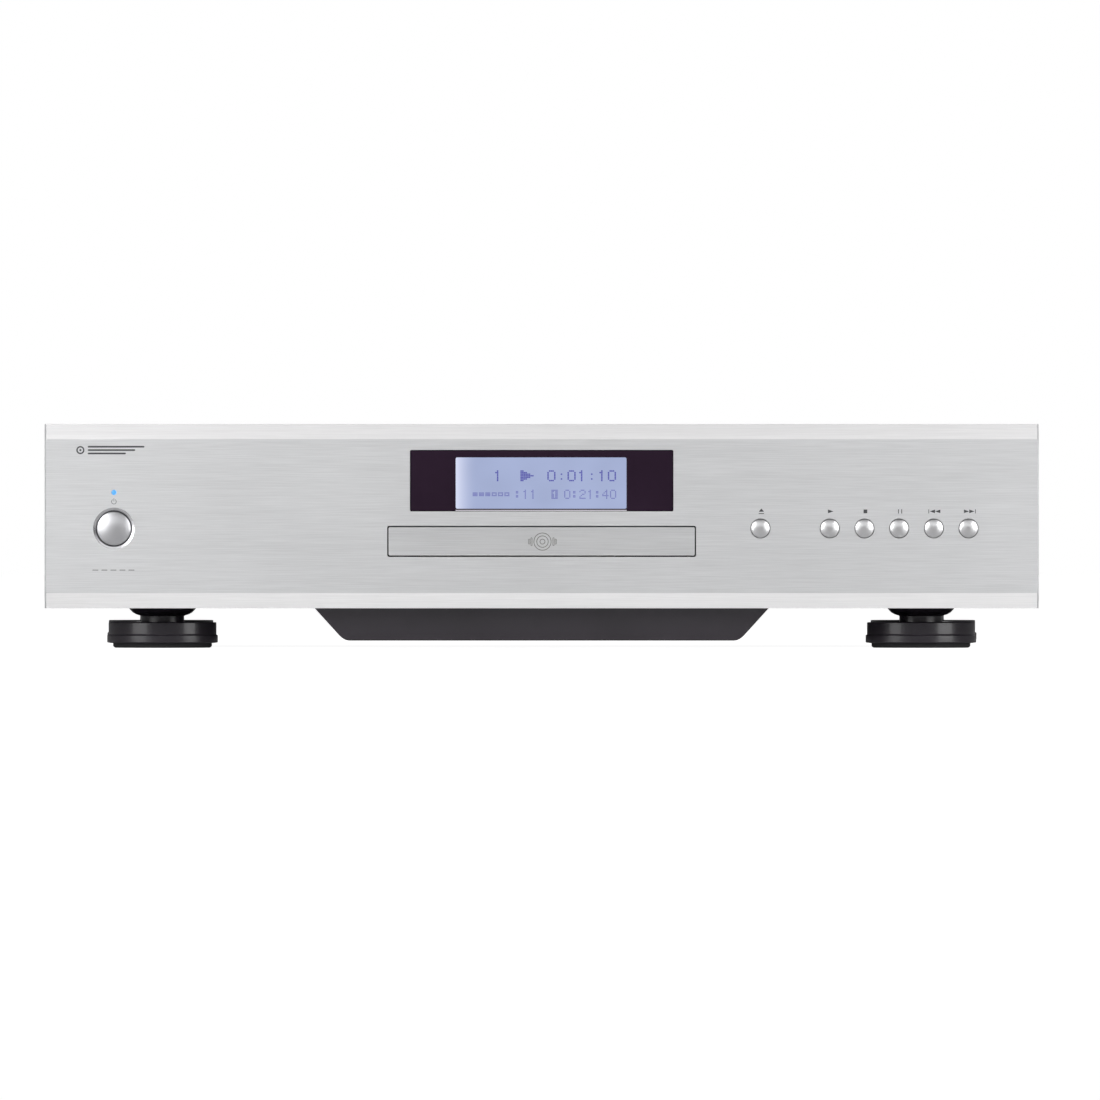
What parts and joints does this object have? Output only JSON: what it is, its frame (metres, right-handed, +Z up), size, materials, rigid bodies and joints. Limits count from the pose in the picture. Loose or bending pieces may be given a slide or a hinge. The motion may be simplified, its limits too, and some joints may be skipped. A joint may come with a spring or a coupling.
{
  "type": "cd player",
  "caption": "Full-width disc player: brushed metal front with display, domed buttons and a motor-driven tray, steel case on disc feet, laser transport and rear sockets.",
  "frame": {"origin": "centre of the outline on the surface that the feet stand on", "axes": "+X to the right seen from the front, -Y out of the front panel, +Z up"},
  "size_m": [0.43, 0.314, 0.097],
  "materials": {
    "brushed_aluminium": "horizontally brushed, clear anodised",
    "spun_aluminium": "spun and polished",
    "black_steel": "fine satin black powder coat",
    "black_plastic": "moulded, fine grain",
    "foot_black": "glossy black",
    "rubber": "matt",
    "dark_window": "dark aubergine tint, polished",
    "display": "pale blue backlit liquid crystal with dark blue characters",
    "indicator": "clear blue lens",
    "steel": "zinc plated",
    "sled_metal": "bead-blasted die casting",
    "white_plastic": "moulded acetal",
    "red_plastic": "moulded",
    "orange_plastic": "moulded",
    "gold_plate": "gold plated",
    "circuit_board": "green solder mask",
    "winding_tape": "clear amber film over the winding",
    "lens_glass": "coated lens"
  },
  "bodies": {
    "case": {"front_panel": "brushed_aluminium", "display_window": "dark_window", "lcd_module": "display", "power_led": "indicator", "power_switch": "black_plastic", "front_board": "circuit_board", "top_cover": "black_steel", "chassis_base": "black_steel", "underbelly_tub": "black_steel", "cover_screw_left_front": "steel", "cover_screw_left_rear": "steel", "cover_screw_right_front": "steel", "cover_screw_right_rear": "steel", "foot_front_left": "foot_black", "foot_pad_front_left": "rubber", "foot_front_right": "foot_black", "foot_pad_front_right": "rubber", "foot_rear_left": "foot_black", "foot_pad_rear_left": "rubber", "foot_rear_right": "foot_black", "foot_pad_rear_right": "rubber", "rear_panel": "black_steel", "mains_inlet": "black_plastic", "analog_left_socket": "gold_plate", "analog_left_insert": "white_plastic", "analog_right_socket": "gold_plate", "analog_right_insert": "red_plastic", "digital_socket": "gold_plate", "digital_insert": "orange_plastic", "remote_socket": "black_plastic", "loader_frame": "black_plastic", "clamp_bridge": "steel", "loading_motor": "steel", "drive_belt": "rubber", "audio_board": "circuit_board", "supply_board": "circuit_board", "power_transformer": "winding_tape"},
    "tray": {"disc_tray": "black_plastic", "tray_door": "brushed_aluminium"},
    "drive_wheel": {"drive_gear": "white_plastic"},
    "pulley_wheel": {"pulley_gear": "white_plastic"},
    "small_pulley": {"motor_pulley": "white_plastic"},
    "clamp": {"disc_clamp": "black_plastic"},
    "traverse": {"traverse_frame": "black_plastic", "spindle_motor": "steel", "guide_rail_left": "steel", "guide_rail_right": "steel", "feed_motor": "steel"},
    "platter": {"turntable": "black_plastic"},
    "sled": {"pickup_sled": "sled_metal"},
    "lens": {"objective_lens": "lens_glass"},
    "feed_wheel": {"feed_gear": "white_plastic"},
    "cam": {"cam_slider": "white_plastic"},
    "power_key": {"power_button": "spun_aluminium"},
    "eject_key": {"eject_button": "spun_aluminium"},
    "play_key": {"play_button": "spun_aluminium"},
    "stop_key": {"stop_button": "spun_aluminium"},
    "pause_key": {"pause_button": "spun_aluminium"},
    "previous_key": {"previous_button": "spun_aluminium"},
    "next_key": {"next_button": "spun_aluminium"}
  },
  "joints": [
    {"name": "tray_slide", "type": "slide", "parent": "case", "child": "tray", "axis": [0, -1, 0], "range_m": [0, 0.147]},
    {"name": "drive_wheel_spin", "type": "hinge", "parent": "case", "child": "drive_wheel", "pos_m": [-0.044, -0.12812, 0.039], "axis": [0, 0, 1], "continuous": true},
    {"name": "pulley_wheel_spin", "type": "hinge", "parent": "case", "child": "pulley_wheel", "pos_m": [-0.026, -0.12812, 0.035], "axis": [0, 0, 1], "continuous": true},
    {"name": "small_pulley_spin", "type": "hinge", "parent": "case", "child": "small_pulley", "pos_m": [0.004, -0.12812, 0.033], "axis": [0, 0, 1], "continuous": true},
    {"name": "traverse_tilt", "type": "hinge", "parent": "case", "child": "traverse", "pos_m": [0, 0.014, 0.0375], "axis": [1, 0, 0], "range_deg": [0, 3.9]},
    {"name": "cam_slide", "type": "slide", "parent": "case", "child": "cam", "axis": [1, 0, 0], "range_m": [0, 0.014]},
    {"name": "platter_spin", "type": "hinge", "parent": "traverse", "child": "platter", "pos_m": [0, -0.081, 0.047], "axis": [0, 0, 1], "continuous": true},
    {"name": "clamp_spin", "type": "hinge", "parent": "case", "child": "clamp", "pos_m": [0, -0.081, 0.053], "axis": [0, 0, 1], "continuous": true},
    {"name": "sled_slide", "type": "slide", "parent": "traverse", "child": "sled", "axis": [0, 1, 0], "range_m": [0, 0.034]},
    {"name": "feed_wheel_spin", "type": "hinge", "parent": "traverse", "child": "feed_wheel", "pos_m": [-0.0322, -0.03626, 0.04], "axis": [0, 0, 1], "continuous": true},
    {"name": "lens_focus", "type": "slide", "parent": "sled", "child": "lens", "axis": [0, 0, 1], "range_m": [-0.0005, 0.0005], "stiffness_N_per_m": 60},
    {"name": "power_key_press", "type": "slide", "parent": "case", "child": "power_key", "axis": [0, 1, 0], "range_m": [0, 0.003], "stiffness_N_per_m": 800},
    {"name": "eject_key_press", "type": "slide", "parent": "case", "child": "eject_key", "axis": [0, 1, 0], "range_m": [0, 0.0008], "stiffness_N_per_m": 1500},
    {"name": "play_key_press", "type": "slide", "parent": "case", "child": "play_key", "axis": [0, 1, 0], "range_m": [0, 0.0008], "stiffness_N_per_m": 1500},
    {"name": "stop_key_press", "type": "slide", "parent": "case", "child": "stop_key", "axis": [0, 1, 0], "range_m": [0, 0.0008], "stiffness_N_per_m": 1500},
    {"name": "pause_key_press", "type": "slide", "parent": "case", "child": "pause_key", "axis": [0, 1, 0], "range_m": [0, 0.0008], "stiffness_N_per_m": 1500},
    {"name": "previous_key_press", "type": "slide", "parent": "case", "child": "previous_key", "axis": [0, 1, 0], "range_m": [0, 0.0008], "stiffness_N_per_m": 1500},
    {"name": "next_key_press", "type": "slide", "parent": "case", "child": "next_key", "axis": [0, 1, 0], "range_m": [0, 0.0008], "stiffness_N_per_m": 1500}
  ],
  "couplings": [
    {"joint": "drive_wheel_spin", "follows": "tray_slide", "rad_per_m": 125},
    {"joint": "pulley_wheel_spin", "follows": "tray_slide", "rad_per_m": -250},
    {"joint": "small_pulley_spin", "follows": "tray_slide", "rad_per_m": -569.15},
    {"joint": "cam_slide", "follows": "traverse_tilt", "m_per_rad": 0.20568},
    {"joint": "clamp_spin", "follows": "platter_spin", "ratio": 1},
    {"joint": "feed_wheel_spin", "follows": "sled_slide", "rad_per_m": 238.1}
  ]
}
